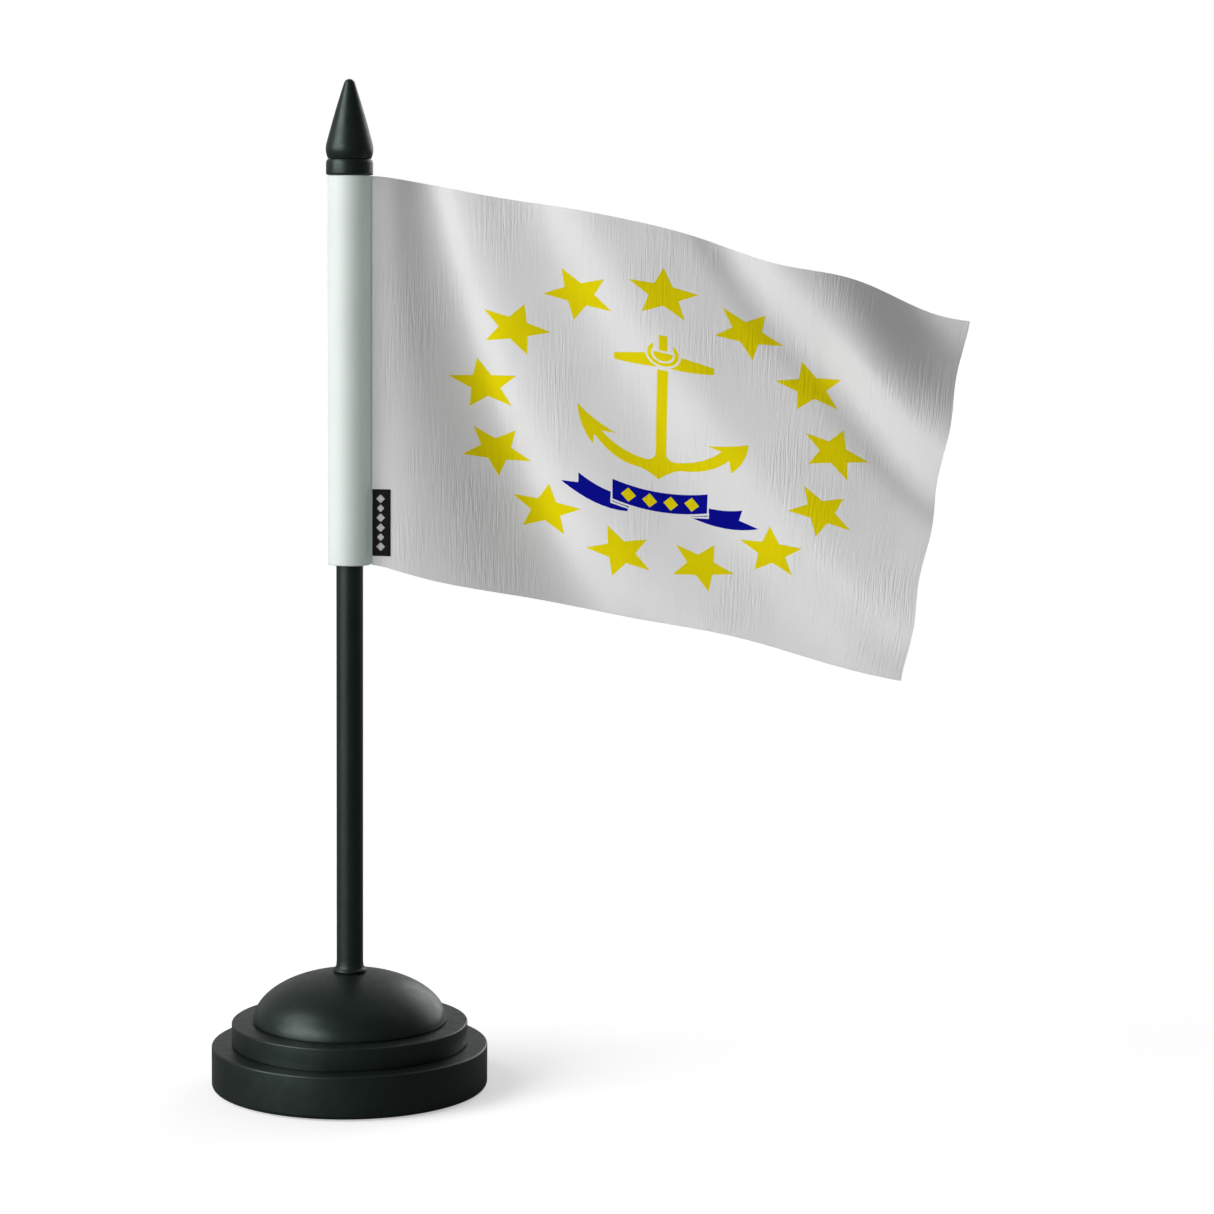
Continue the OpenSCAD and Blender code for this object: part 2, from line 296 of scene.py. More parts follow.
def cloth(name, colour, shade, gloss=0.0):
    """Printed polyester: fine ribs down the hoist, a faint weave and a little sheen."""
    s = Shader(name, colour, 0.8 - gloss, Specular_IOR_Level=0.06)
    ribs = s.noise(s.flat_space((1.5, 0.11, 1)), 1.0, detail=3.0, roughness=0.6, distortion=0.35)
    drift = s.noise(s.flat_space((0.045, 0.03, 1)), 1.0, detail=2.0)
    s.link("Base Color", s.blend(s.span(drift, 0.0, 1.0), colour, shade))
    weave = s.noise(s.flat_space((9.0, 5.0, 1)), 1.0, detail=1.0)
    fine = s.bump(weave, 0.35, 0.04)
    depth = s.math("MULTIPLY", ribs, s.span(drift, 0.2, 1.0, 0.4, 0.62))
    s.link("Normal", s.bump(depth, 0.8, 0.25, fine))
    return s.material


def woven_tape(name, colour, thread):
    """Label tape: fine crosswise threads."""
    s = Shader(name, colour, 0.85, Specular_IOR_Level=0.2)
    rows = s.add("ShaderNodeTexWave", Vector=s.flat_space((0.0, 1.0, 0)), Scale=1.1).outputs["Fac"]
    across = s.add("ShaderNodeTexWave", Vector=s.flat_space((1.0, 0.0, 0)), Scale=0.8).outputs["Fac"]
    both = s.math("MULTIPLY", rows, s.span(across, 0.5, 1.0, 0.0, 1.0))
    s.link("Base Color", s.blend(both, colour, thread))
    s.link("Normal", s.bump(both, 0.7, 0.08))
    return s.material


def floor_material():
    """White and softly shadowed to the eye; it throws only a little light back at the object."""
    s = Shader("floor", (0.8, 0.8, 0.8), 1.0, Specular_IOR_Level=0.0)
    s.set("Emission Color", (1, 1, 1, 1))
    path = s.add("ShaderNodeLightPath").outputs["Is Camera Ray"]
    s.link("Base Color", s.blend(path, (0.2, 0.2, 0.2), (0.8, 0.8, 0.8)))
    s.link("Emission Strength", s.math("MULTIPLY", path, 0.47))
    return s.material


BASE_GLOSS = dark_gloss("base_gloss", (0.0055, 0.0095, 0.0085), 0.36)
POLE_PAINT = dark_gloss("pole_paint", (0.0065, 0.0105, 0.0095), 0.40)
# painted light: the sleeve glows faintly so that its shaded side stays bright
SLEEVE_PLASTIC = smooth_plastic("sleeve_plastic", (0.68, 0.71, 0.70), 0.42, painted_glow=0.13)
BUSH_PLASTIC = smooth_plastic("bush_plastic", (0.74, 0.74, 0.71), 0.5)
PLATE_PLASTIC = smooth_plastic("plate_plastic", (0.028, 0.028, 0.03), 0.6)
STEEL = turned_metal("steel", (0.56, 0.57, 0.58), 0.32)
BRASS = turned_metal("brass", (0.62, 0.47, 0.2), 0.3)
IRON = cast_iron()
FOAM = foam()
CLOTH_WHITE = cloth("cloth_white", (0.80, 0.80, 0.805), (0.77, 0.77, 0.775))
PRINT_GOLD = cloth("print_gold", (0.80, 0.68, 0.0), (0.75, 0.63, 0.0))
PRINT_BLUE = cloth("print_blue", (0.0, 0.0005, 0.235), (0.0, 0.003, 0.32), gloss=0.12)
BACK_GOLD = cloth("back_gold", (0.74, 0.66, 0.07), (0.70, 0.62, 0.06))
BACK_BLUE = cloth("back_blue", (0.03, 0.035, 0.34), (0.03, 0.04, 0.38), gloss=0.1)
LABEL_BLACK = woven_tape("label_black", (0.006, 0.006, 0.006), (0.014, 0.014, 0.014))
LABEL_THREAD = woven_tape("label_thread", (0.55, 0.55, 0.54), (0.75, 0.75, 0.74))

# ---------------------------------------------------------------- mesh helpers


def make_object(name, vertices_mm, faces, materials):
    """A smooth-shaded mesh object from points in millimetres."""
    mesh = bpy.data.meshes.new(name)
    mesh.from_pydata([Vector(p) * MM for p in vertices_mm], [], faces)
    for material in materials:
        mesh.materials.append(material)
    mesh.shade_smooth()
    mesh.update()
    obj = bpy.data.objects.new(name, mesh)
    bpy.context.scene.collection.objects.link(obj)
    return obj


def arc(x, z, r, a0, a1, n=8):
    """Points on an arc about (x, z), from angle a0 to a1 in degrees."""
    angles = [math.radians(a0 + (a1 - a0) * i / n) for i in range(n + 1)]
    return [(x + r * math.cos(a), z + r * math.sin(a)) for a in angles]


def lathe(name, profile, material, segments=160):
    """A closed profile of (radius, height) points turned about the pole's axis.

    A profile whose first and last points lie on the axis closes there to a fan.
    """
    on_axis = [r < 1e-6 for r, _ in profile]
    vertices, faces, rings = [], [], []
    for (r, z), axial in zip(profile, on_axis):
        start = len(vertices)
        if axial:
            vertices.append((0, 0, z))
            rings.append([start] * segments)
            continue
        for k in range(segments):
            a = 2 * math.pi * k / segments
            vertices.append((r * math.cos(a), r * math.sin(a), z))
        rings.append(list(range(start, start + segments)))
    closed = not (on_axis[0] and on_axis[-1])
    pairs = list(zip(rings, rings[1:])) + ([(rings[-1], rings[0])] if closed else [])
    for low, high in pairs:
        for k in range(segments):
            j = (k + 1) % segments
            corner = [low[k], low[j], high[j], high[k]]
            face = [v for i, v in enumerate(corner) if v not in corner[:i]]
            if len(face) > 2:
                faces.append(face)
    obj = make_object(name, vertices, faces, [material])
    obj.data.set_sharp_from_angle(angle=math.radians(35))
    return obj


def stand_for(obj, body, node):
    """obj rides on a body and stands for a CAD node."""
    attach(obj, body)
    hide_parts(node)


# ---------------------------------------------------------------- base, pole and finial

BORE = 3.6  # radius of the hole through the tiers, which the socket goes through
SKIRT = 2.2  # wall of the tiers
DECK = 2.4  # top of the lower two tiers
GROOVE = 0.5  # undercut at the foot of the upper two tiers, which shows as a dark joint line
GROOVE_H = 0.4  # the undercut's height


def tier_profile(low_corner, high_corner, foot, rim, groove=0.0):
    """A tier of the base: a skirt, a deck with a rounded rim, and a bore.

    foot and rim are the radii of the skirt's lower and upper edge.
    """
    radius, low, high = high_corner.x, low_corner.z, high_corner.z
    inner = radius - SKIRT
    under = high - DECK
    profile = [(inner, low), (radius - groove - foot, low)]
    if groove:
        profile += [(radius - groove, low + 0.02), (radius - groove, low + GROOVE_H)]
        profile += arc(radius - foot, low + GROOVE_H + foot, foot, -90, 0, 6)
    else:
        profile += arc(radius - foot, low + foot, foot, -90, 0, 10)
    profile += arc(radius - rim, high - rim, rim, 0, 90, 10)
    profile += [(BORE + 0.2, high), (BORE, high - 0.2), (BORE, under), (inner, under)]
    return profile


def dome_profile():
    """The top tier: half an ellipse with a small flat for the pole's collar, hollow round a boss."""
    radius, foot, top = DOME_HIGH.x, DOME_LOW.z, DOME_HIGH.z
    flat_r = COLLAR_HIGH.x + 0.15
    rise = (top - foot) / math.sqrt(1 - (flat_r / radius) ** 2)
    inner = radius - SKIRT
    profile = [(inner, foot), (radius - GROOVE - 0.1, foot)]
    profile += [(radius - GROOVE, foot + 0.02), (radius - GROOVE, foot + GROOVE_H)]
    first, last = math.asin(GROOVE_H / rise), math.acos(flat_r / radius)
    for i in range(45):
        a = first + (last - first) * i / 44
        profile.append((radius * math.cos(a), foot + rise * math.sin(a)))
    flange_r, flange_h = 4.2, 0.8  # recess for the socket's flange
    profile += [(flange_r, top), (flange_r, top - flange_h), (BORE, top - flange_h), (BORE, foot)]
    boss_r = 6.2
    profile += [(boss_r, foot), (boss_r, foot + rise - SKIRT - 0.6)]
    for i in range(16):
        a = last * (1 - i / 15) * 0.93
        profile.append((inner * math.cos(a), foot + (rise - SKIRT) * math.sin(a)))
    return profile


def make_base():
    plinth = tier_profile(PLINTH_LOW, PLINTH_HIGH, foot=1.1, rim=0.55)
    stand_for(lathe("plinth_tier", plinth, BASE_GLOSS, 200), "base", "base_plinth")
    step = tier_profile(STEP_LOW, STEP_HIGH, foot=0.15, rim=0.45, groove=GROOVE)
    stand_for(lathe("step_tier", step, BASE_GLOSS, 200), "base", "base_step")
    dome = dome_profile()
    stand_for(lathe("dome_tier", dome, BASE_GLOSS, 200), "base", "base_dome")


def make_collar():
    """A rounded lip, and a hollow flare up to the pole."""
    lip_r, low = COLLAR_HIGH.x, COLLAR_LOW.z
    lip_h = 1.1
    neck = low + lip_h - 0.1
    flare_h = COLLAR_HIGH.z - neck
    flare_run = 0.42
    profile = [(STUD_R, low), (lip_r - 0.45, low)]
    profile += arc(lip_r - lip_h / 2, low + lip_h / 2, lip_h / 2, -75, 75, 12)
    for i in range(13):
        a = math.pi / 2 * i / 12
        profile.append((POLE_R + flare_run * (1 - math.sin(a)), neck + flare_h * (1 - math.cos(a))))
    profile.append((STUD_R, COLLAR_HIGH.z))
    collar = lathe("pole_foot_collar", profile, POLE_PAINT, 96)
    stand_for(collar, "pole", "pole_collar")


def make_tube():
    low, high, edge = TUBE_LOW.z, TUBE_HIGH.z, 0.25
    profile = [(STUD_R, low), (POLE_R, low), (POLE_R, low + 0.01)]
    profile += [(POLE_R, low + (high - low) * i / 8) for i in range(1, 8)]
    profile += arc(POLE_R - edge, high - edge, edge, 0, 90, 4)
    profile += [(STUD_R + 0.2, high), (STUD_R, high - 0.2)]
    stand_for(lathe("pole_shaft", profile, POLE_PAINT, 96), "pole", "pole_tube")


def make_ring():
    """A band with a round lower corner and a long shoulder."""
    low, high, r = SLEEVE_HIGH.z + 0.08, RING_HIGH.z, RING_HIGH.x
    corner, shoulder_w, shoulder_h = 0.5, 0.65, 1.3
    profile = [(PIN_R, low)]
    profile += arc(r - corner, low + corner, corner, -90, 0, 10)
    for i in range(1, 13):
        a = math.pi / 2 * i / 12
        profile.append((r - shoulder_w * (1 - math.cos(a)), high - shoulder_h * (1 - math.sin(a))))
    profile.append((PIN_R, high))
    ring = lathe("finial_ring_band", profile, BASE_GLOSS, 96)
    stand_for(ring, "finial", "finial_ring")


def make_spear():
    """A round belly, a nearly straight flank and a rounded tip, with a hole for the pin."""
    belly_r, flank, tip_r = 5.7, 16, 1.5
    belly = SPEAR_LOW.z + 2.6
    belly_x = SPEAR_HIGH.x - belly_r
    tip = SPEAR_HIGH.z - tip_r
    pin_top = SPEAR_LOW.z + 7
    profile = [(0.0, pin_top), (PIN_R, pin_top), (PIN_R, SPEAR_LOW.z)]
    profile += arc(belly_x, belly, belly_r, -26, flank, 26)
    slope = math.radians(flank)
    x0, z0 = belly_x + belly_r * math.cos(slope), belly + belly_r * math.sin(slope)
    x1, z1 = tip_r * math.cos(slope), tip + tip_r * math.sin(slope)
    for i in range(1, 12):
        k = i / 12
        bow = 0.12 * math.sin(math.pi * k)
        profile.append((x0 + (x1 - x0) * k + bow, z0 + (z1 - z0) * k))
    profile += arc(0, tip, tip_r, flank, 89, 10)
    profile += [(0.0, SPEAR_HIGH.z)]
    spear = lathe("finial_teardrop", profile, BASE_GLOSS, 96)
    stand_for(spear, "finial", "finial_spear")


def make_sleeve():
    low, high, edge = SLEEVE_LOW.z, SLEEVE_HIGH.z, 0.35
    inner = SLEEVE_R - 0.75
    bevel = 0.15
    profile = [(inner, low + bevel), (inner + bevel, low)]
    profile += arc(SLEEVE_R - edge, low + edge, edge, -90, 0, 8)
    profile += [(SLEEVE_R, low + (high - low) * i / 10) for i in range(1, 10)]
    profile += arc(SLEEVE_R - edge, high - edge, edge, 0, 90, 8)
    profile += [(inner + bevel, high), (inner, high - bevel)]
    sleeve = lathe("hoist_sleeve", profile, SLEEVE_PLASTIC, 128)
    stand_for(sleeve, "flag", "flag_sleeve")


# ---------------------------------------------------------------- the hanging cloth

FLY_TOP = 154.3  # reach of the hanging cloth beyond the sleeve, at the top and the bottom
FLY_BOTTOM = 139.1
DROOP_TOP = 36.0  # how far the two edges drop over that reach
DROOP_BOTTOM = 28.5
LEAVE_X = 5.75  # where the cloth leaves the back of the sleeve
MARGIN = 13.0  # cloth that lies round the back of the sleeve
WRAP_R = SLEEVE_R + 0.2
HANG_Y = -2.0  # where the cloth hangs beside the sleeve, a little in front of the pole's axis
TURN = 0.12  # how quickly it turns there from the sleeve's side to the fly

# Folds: where each one starts along the top edge as a share of the fly, how far it steps
# back (+) or forward (-) there, and the half width of the step
FOLDS = [
    (0.045, 4.6, 0.050),
    (0.118, -4.0, 0.017),
    (0.148, -1.6, 0.028),
    (0.310, -6.8, 0.042),
    (0.550, 1.9, 0.028),
    (0.640, -6.8, 0.034),
    (0.805, 10.6, 0.075),
    (0.880, 4.2, 0.050),
]


def sine(degrees):
    return np.sin(np.radians(degrees))


def spread(v):
    """The folds fan out from the hoist's top corner, 2.6 times deeper at the bottom edge."""
    return 1 + v + 0.6 * v * v


def fold_height(a):
    """How far back the folds have carried the cloth at the share a of the top edge."""
    total = np.zeros_like(a)
    for centre, height, half in FOLDS:
        total += height * 0.5 * (np.tanh((a - centre) / half) + np.tanh(centre / half))
    return total


def eased(u, start):
    """Takes the slope at the hoist out of an edge that starts with a slope."""
    return start * u * np.exp(-u / 0.03)


def top_edge(u):
    """Height of the top edge at the share u of the fly, against its start at the hoist."""
    drop = -DROOP_TOP * u + 4.5 * sine(180 * u) + 1.3 * u**2.2 * sine(1350 * u + 95)
    drop = drop + 0.65 * sine(180 * u) * sine(90 + 818 * (u - 0.42))
    return drop + eased(u, DROOP_TOP - 4.5 * math.pi)


def bottom_edge(u):
    """The same for the bottom edge."""
    drop = -DROOP_BOTTOM * u + 0.5 * sine(180 * u) - 0.8 * sine(450 * u) - 0.35 * sine(900 * u)
    return drop + eased(u, DROOP_BOTTOM - 0.5 * math.pi + 0.8 * 2.5 * math.pi)


def cloth_surface(s, t):
    """Where the flat point (s along the fly, t down the hoist) hangs, in millimetres.

    s is 0 at the sleeve's edge and negative on the part that lies behind and round the sleeve.
    """
    s, t = np.asarray(s, float), np.asarray(t, float)
    v = t / HOIST
    flat_u = np.clip(s / FLY, 0, None)
    # The middle of the cloth sits further out towards the bottom, and the fly edge waves a little
    u = flat_u + sine(180 * flat_u) * (0.013 + 0.042 * (v - 0.5))
    x = SLEEVE_R + u * (FLY_TOP * (1 - v) + FLY_BOTTOM * v) - 0.44 * u**4 * sine(1280 * v - 106)
    x = np.where(s < 0, SLEEVE_R + s, x)
    leave_y = math.sqrt(WRAP_R**2 - LEAVE_X**2)
    y = HANG_Y + (leave_y - HANG_Y) * np.exp(-(x - LEAVE_X) / TURN)
    # Each fold keeps one value of fan all the way down the cloth
    fan = (u - 0.05 * v - 0.1 * v * v) / (spread(v) + 0.35 * v**8)
    calm = 1 - np.exp(-((u / 0.05) ** 2))
    depth = calm * (spread(v) * fold_height(fan) - 4 * u * v**4)
    y = y + depth
    z = CLOTH_TOP - t + (1 - v) * top_edge(u) + v * bottom_edge(u)
    # The folds move the cloth along the line of sight, so they leave its front outline as it is
    away = 1 - depth / CAMERA_AT[1]
    x = CAMERA_AT[0] + (x - CAMERA_AT[0]) * away
    z = CAMERA_AT[2] + (z - CAMERA_AT[2]) * away
    round_back = np.clip(LEAVE_X - (SLEEVE_R + s), 0, None) / WRAP_R
    angle = math.acos(LEAVE_X / WRAP_R) + round_back
    wrapped = round_back > 0
    x = np.where(wrapped, WRAP_R * np.cos(angle), x)
    y = np.where(wrapped, WRAP_R * np.sin(angle), y)
    return np.stack([x, y, z], -1)


# ---------------------------------------------------------------- the print
# Outlines are in the flat cloth's millimetres from its centre, x along the fly and y down.

RING_HALF = (50.4, 34.1)  # half width and half height of the ring of stars
RING_AT = (0.5, 0.5)  # its centre
STAR_COUNT = 13
STAR_R = 6.7
STAR_STRETCH = 1.52  # width against height
STAR_WAIST = 0.43  # inner corners against points
PRINT_LEAN = 1.2  # degrees, the left end down

WHITE, GOLD, BLUE = 0, 1, 2  # the front's material slots; the back has the next three


def curve(p0, p1, p2, n=8):
    """A quadratic curve from p0 to p2 that heads for p1, without its last point."""
    points = []
    for i in range(n):
        k = i / n
        w0, w1, w2 = (1 - k) ** 2, 2 * k * (1 - k), k * k
        points.append(tuple(w0 * a + w1 * b + w2 * c for a, b, c in zip(p0, p1, p2)))
    return points


def ellipse(x, y, rx, ry, n=40):
    angles = [2 * math.pi * i / n for i in range(n)]
    return [(x + rx * math.cos(a), y + ry * math.sin(a)) for a in angles]


def stars():
    shapes = []
    for k in range(STAR_COUNT):
        turn = 2 * math.pi * k / STAR_COUNT
        cx = RING_AT[0] + RING_HALF[0] * math.sin(turn)
        cy = RING_AT[1] - RING_HALF[1] * math.cos(turn)
        outline = []
        for i in range(10):
            r = STAR_R * (STAR_WAIST if i % 2 else 1)
            a = turn + math.pi * i / 5
            outline.append((cx + STAR_STRETCH * r * math.sin(a), cy - r * math.cos(a)))
        shapes.append((outline, GOLD))
    return shapes


def anchor():
    """A plain stocked anchor, drawn from the back to the front."""
    ring_y = -18.6
    ring_x = 0.4
    stock = [(0.0, ring_y - 0.3), (14.8, ring_y + 0.4), (14.8, ring_y + 2.1)]
    stock += curve((14.8, ring_y + 2.1), (8.0, ring_y + 3.6), (0.0, ring_y + 3.4))
    stock += curve((0.0, ring_y + 3.4), (-8.0, ring_y + 4.1), (-13.3, ring_y + 3.5))
    stock += [(-13.3, ring_y + 3.5), (-13.3, ring_y + 1.9)]
    shank_half, shank_foot, crown = 1.55, 6.9, (-0.6, 13.4)
    right = [(ring_x + shank_half, ring_y + 4.1), (shank_half, shank_foot)]
    right += curve((shank_half, shank_foot), (1.9, 8.2), (4.0, 8.3), 5)
    right += curve((4.0, 8.3), (12.0, 7.5), (17.6, 2.7), 9)
    right += [(17.6, 2.7), (13.4, 2.1)]
    right += curve((13.4, 2.1), (19.5, 1.1), (25.4, -0.7), 7)
    right += curve((25.4, -0.7), (25.0, 4.2), (20.5, 7.8), 7)
    right += [(20.5, 7.8), (19.9, 4.6)]
    right += curve((19.9, 4.6), (14.0, 9.6), (6.0, 10.1), 9)
    right += curve((6.0, 10.1), (3.2, 10.7), crown, 5)
    left = [(ring_x - shank_half, ring_y + 4.1), (-shank_half, shank_foot)]
    left += curve((-shank_half, shank_foot), (-1.9, 8.6), (-4.0, 8.8), 5)
    left += curve((-4.0, 8.8), (-11.4, 8.3), (-17.0, 3.7), 9)
    left += [(-17.0, 3.7), (-12.8, 3.7)]
    left += curve((-12.8, 3.7), (-19.2, 1.5), (-23.8, -2.3), 7)
    left += curve((-23.8, -2.3), (-23.4, 3.3), (-19.5, 7.4), 7)
    left += [(-19.5, 7.4), (-19.1, 4.8)]
    left += curve((-19.1, 4.8), (-13.4, 10.9), (-6.4, 11.1), 9)
    left += curve((-6.4, 11.1), (-3.8, 11.5), crown, 5)
    body = right + [crown] + list(reversed(left))

    def bar(half, low, high):
        left_x, right_x = ring_x - half, ring_x + half
        return [(left_x, high), (right_x, high), (right_x, low), (left_x, low)]

    return [
        (body, GOLD),
        (stock, GOLD),
        (ellipse(ring_x, ring_y, 5.0, 3.55), WHITE),
        (ellipse(ring_x, ring_y, 4.45, 3.1), GOLD),
        (ellipse(ring_x, ring_y, 3.3, 2.3), WHITE),
        (ellipse(ring_x, ring_y, 2.75, 1.85), GOLD),
        (bar(2.75, ring_y - 0.3, ring_y - 2.9), WHITE),
        (bar(1.65, ring_y - 0.3, -23.2), WHITE),
        (bar(1.2, ring_y - 0.75, -23.2), GOLD),
    ]


def ribbon():
    """A blank ribbon with a folded end each side; four plain lozenges sit on its panel."""
    half, top, tilt, sag, height = 13.9, 15.0, -0.4, 1.7, 5.0

    def panel_line(y, grow=0.0):
        a, b = (-half - grow, y - tilt), (half + grow, y + tilt)
        return curve(a, (0, y + 2 * sag), b, 14) + [b]

    panel = panel_line(top) + list(reversed(panel_line(top + height)))
    halo = panel_line(top - 0.1, 0.5) + list(reversed(panel_line(top + height + 0.45, 0.5)))
    right_tail = [(13.4, 18.1)]
    right_tail += curve((13.4, 18.1), (18.6, 18.4), (24.4, 16.8), 6)
    right_tail += [(24.4, 16.8), (23.6, 19.6), (29.6, 20.8)]
    right_tail += curve((29.6, 20.8), (20.0, 23.9), (9.0, 21.5), 8)
    right_tail += [(9.0, 21.5), (9.0, 21.0), (13.4, 20.5)]
    left_tail = [(-13.4, 18.9)]
    left_tail += curve((-13.4, 18.9), (-18.6, 18.2), (-23.6, 15.3), 6)
    left_tail += [(-23.6, 15.3), (-23.7, 17.8), (-28.6, 18.0)]
    left_tail += curve((-28.6, 18.0), (-19.0, 23.8), (-9.6, 23.0), 8)
    left_tail += [(-9.6, 23.0), (-9.4, 22.3), (-13.4, 21.4)]
    fold = [(9.2, 19.9), (14.1, 19.4), (14.1, 20.4), (9.2, 21.3)]
    fold_halo = [(8.9, 19.9), (14.5, 19.4), (14.5, 20.9), (9.0, 21.7)]
    shapes = [(right_tail, BLUE), (fold_halo, WHITE), (fold, BLUE)]
    lower = 0.7

    def other_side(points):
        return [(-x, y + lower) for x, y in reversed(points)]

    shapes += [(left_tail, BLUE), (other_side(fold_halo), WHITE), (other_side(fold), BLUE)]
    shapes += [(halo, WHITE), (panel, BLUE)]
    for i in range(4):
        x = -9.3 + 6.2 * i
        y = top + height / 2 + tilt * x / half + sag * (1 - (x / half) ** 2)
        shapes.append(([(x - 2.2, y), (x, y - 1.8), (x + 2.2, y), (x, y + 1.8)], GOLD))
    return shapes


def in_polygon(px, py, outline):
    """For each point, whether it is inside the outline."""
    inside = np.zeros(len(px), bool)
    for (x0, y0), (x1, y1) in zip(outline, outline[1:] + outline[:1]):
        if y0 == y1:
            continue
        crosses = (y0 > py) != (y1 > py)
        inside ^= crosses & (px < (x1 - x0) * (py - y0) / (y1 - y0) + x0)
    return inside


def near_outline(px, py, outline, reach):
    """For each point, whether it is within reach of the outline."""
    near = np.zeros(len(px), bool)
    for (x0, y0), (x1, y1) in zip(outline, outline[1:] + outline[:1]):
        dx, dy = x1 - x0, y1 - y0
        k = np.clip(((px - x0) * dx + (py - y0) * dy) / max(dx * dx + dy * dy, 1e-9), 0, 1)
        near |= (px - x0 - k * dx) ** 2 + (py - y0 - k * dy) ** 2 < reach * reach
    return near


def split_long(outline, longest):
    """The outline with extra points, so that it can follow the hanging cloth."""
    points = []
    for a, b in zip(outline, outline[1:] + outline[:1]):
        n = max(1, math.ceil(math.dist(a, b) / longest))
        points += [(a[0] + (b[0] - a[0]) * i / n, a[1] + (b[1] - a[1]) * i / n) for i in range(n)]
    return points


def cloth_grid(pitch):
    """Grid points of the flat cloth, in narrow columns where it turns away from the sleeve."""
    left = -(SLEEVE_R - LEAVE_X) - MARGIN
    turn = LEAVE_X - SLEEVE_R + TURN * np.array([0, 0.4, 0.9, 1.6, 2.8])
    behind = np.arange(left, turn[0] - pitch / 2, pitch)
    beyond = np.linspace(turn[-1] + pitch / 3, FLY, round(FLY / pitch))
    rows = np.linspace(0, HOIST, round(HOIST / pitch) + 1)
    s, t = np.meshgrid(np.concatenate([behind, turn, beyond]), rows)
    return s.ravel(), t.ravel()


def printed_shapes(pitch):
    """The print on the flat cloth, from the back to the front: outlines with a colour each."""
    centre = (FLY / 2, HOIST / 2)
    lean = math.radians(PRINT_LEAN)
    shapes = []
    for outline, colour in stars() + anchor() + ribbon():
        points = split_long(outline, pitch)
        placed = [(x + centre[0] + y * lean, y + centre[1] - x * lean) for x, y in points]
        shapes.append((placed, colour))
    return shapes


def printed_sheet(pitch):
    """Flat triangles of the cloth, cut along the print: points (s, t), triangles and a colour each."""
    shapes = printed_shapes(pitch)
    gs, gt = cloth_grid(pitch)
    keep = np.ones(len(gs), bool)
    for outline, _ in shapes:
        keep &= ~near_outline(gs, gt, outline, pitch * 0.4)
    points = [Vector(p) for p in zip(gs[keep], gt[keep])]
    edges = []
    for outline, _ in shapes:
        start, n = len(points), len(outline)
        points += [Vector(p) for p in outline]
        edges += [(start + i, start + (i + 1) % n) for i in range(n)]
    flat, _, triangles, _, _, _ = delaunay_2d_cdt(points, edges, [], 0, 1e-4)
    flat = np.array(flat)
    middle = flat[np.array(triangles)].mean(1)
    ink = np.zeros(len(triangles), int)
    for outline, colour in shapes:
        ink[in_polygon(middle[:, 0], middle[:, 1], outline)] = colour
    return flat, triangles, ink


def add_flat_coordinates(obj, flat):
    """A UV map that holds the flat cloth's millimetres."""
    layer = obj.data.uv_layers.new(name="flat")
    loops = np.zeros(len(obj.data.loops), int)
    obj.data.loops.foreach_get("vertex_index", loops)
    layer.data.foreach_set("uv", np.asarray(flat)[loops].ravel())


def make_cloth():
    flat, triangles, ink = printed_sheet(1.0)
    points = cloth_surface(flat[:, 0], flat[:, 1])
    faces = [list(reversed(t)) for t in triangles]
    materials = [CLOTH_WHITE, PRINT_GOLD, PRINT_BLUE, CLOTH_WHITE, BACK_GOLD, BACK_BLUE]
    obj = make_object("flag_sheet", points, faces, materials)
    obj.data.polygons.foreach_set("material_index", ink)
    add_flat_coordinates(obj, flat)
    thick = obj.modifiers.new("thickness", "SOLIDIFY")
    thick.thickness = CLOTH_T * MM
    thick.offset = 0
    thick.material_offset = 3
    # The rims get their own faces, so that they can stay sharp
    seen = obj.evaluated_get(bpy.context.evaluated_depsgraph_get())
    solid = bpy.data.meshes.new_from_object(seen)
    obj.modifiers.clear()
    obj.data = solid
    solid.set_sharp_from_angle(angle=math.radians(60))
    stand_for(obj, "flag", "flag_cloth")


def lozenge_row(u, v, width, height):
    """Whether the label's point (u, v) is on one of six lozenges down its middle."""
    count, end, half = 6, 1.2, 1.1
    step = (height - 2 * end) / count
    along = abs((v - end) % step - step / 2)
    return abs(u - width / 2) + along < half and end < v < height - end


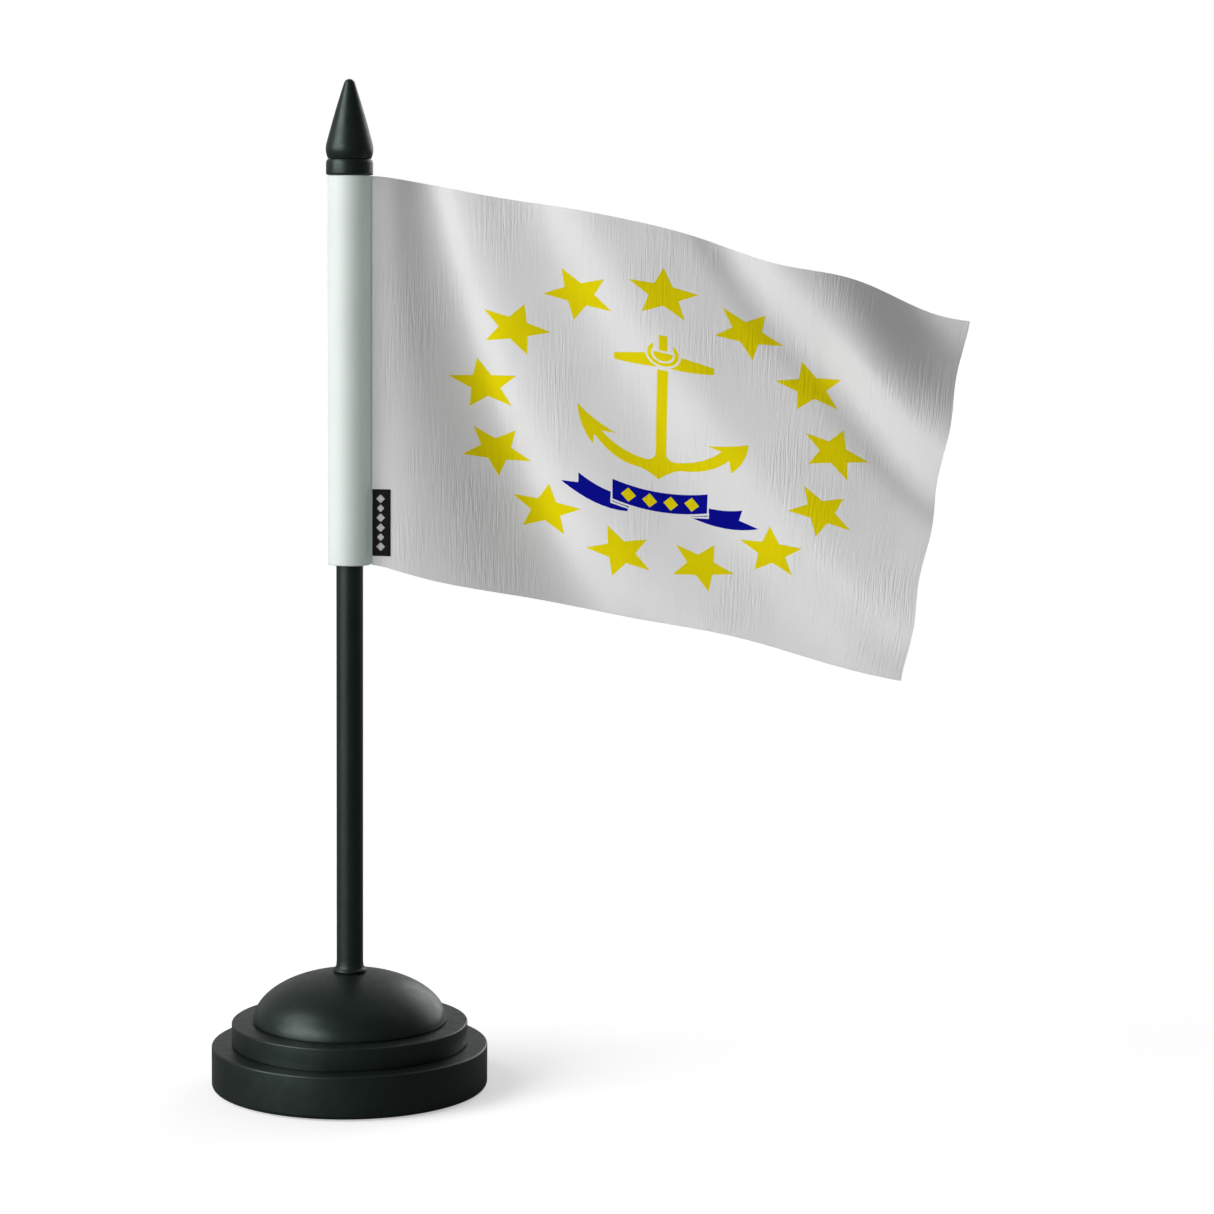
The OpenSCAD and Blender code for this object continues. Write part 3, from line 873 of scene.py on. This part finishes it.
def make_label():
    """A woven tab on the cloth beside the sleeve, with a plain row of lozenges."""
    low, high = node_box("label_tab")
    width, height, thick = high.x - low.x, high.z - low.z, 0.35
    left, top = 0.12, CLOTH_TOP - high.z
    columns, rows = 18, 60
    corner = 0.35  # how far in from the rim the front starts to curve back
    us = np.linspace(0, width, columns + 1)
    vs = np.linspace(0, height, rows + 1)
    vertices, flat = [], []
    for lift in (CLOTH_T / 2, CLOTH_T / 2 + thick):
        for v in vs:
            for u in us:
                edge = min(u, width - u, v, height - v)
                soft = thick * 0.5 * max(0.0, 1 - edge / corner) ** 2 if lift > CLOTH_T else 0.0
                x, y, _ = cloth_surface(left + u, top + v)
                vertices.append((x, y - lift + soft, high.z - v))
                flat.append((u, v))
    stride = columns + 1
    layer = stride * (rows + 1)
    faces, inks = [], []
    for j in range(rows):
        for i in range(columns):
            a = j * stride + i
            faces.append((a, a + 1, a + stride + 1, a + stride))
            inks.append(0)
            b = a + layer
            faces.append((b, b + stride, b + stride + 1, b + 1))
            u, v = us[i] + width / columns / 2, vs[j] + height / rows / 2
            inks.append(int(lozenge_row(u, v, width, height)))
    rim = [i for i in range(columns)] + [j * stride + columns for j in range(rows)]
    rim += [rows * stride + i for i in range(columns, 0, -1)]
    rim += [j * stride for j in range(rows, 0, -1)]
    for a, b in zip(rim, rim[1:] + rim[:1]):
        faces.append((a, a + layer, b + layer, b))
        inks.append(0)
    obj = make_object("woven_label", vertices, faces, [LABEL_BLACK, LABEL_THREAD])
    obj.data.polygons.foreach_set("material_index", inks)
    obj.data.set_sharp_from_angle(angle=math.radians(50))
    add_flat_coordinates(obj, flat)
    stand_for(obj, "flag", "label_tab")


# ---------------------------------------------------------------- the rest


def paint_frame():
    """Better materials for the CAD nodes that stay."""
    finishes = {
        "pole_socket": BRASS,
        "socket_washer": STEEL,
        "socket_nut": STEEL,
        "ballast_ring": IRON,
        "bottom_plate": PLATE_PLASTIC,
        "plate_screws": STEEL,
        "base_pad": FOAM,
        "pole_stud": STEEL,
        "finial_pin": STEEL,
        "top_bush": BUSH_PLASTIC,
        "bottom_bush": BUSH_PLASTIC,
    }
    for name, material in finishes.items():
        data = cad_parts[name].data
        data.materials.clear()
        data.materials.append(material)


def make_floor():
    """A floor that reaches past the picture on all sides."""
    half = 6000
    corners = [(-half, -half, 0), (half, -half, 0), (half, half, 0), (-half, half, 0)]
    make_object("studio_floor", corners, [(0, 1, 2, 3)], [floor_material()])


make_camera()
make_lights()
make_world()
make_floor()
paint_frame()
make_base()
make_collar()
make_tube()
make_ring()
make_spear()
make_sleeve()
make_cloth()
make_label()
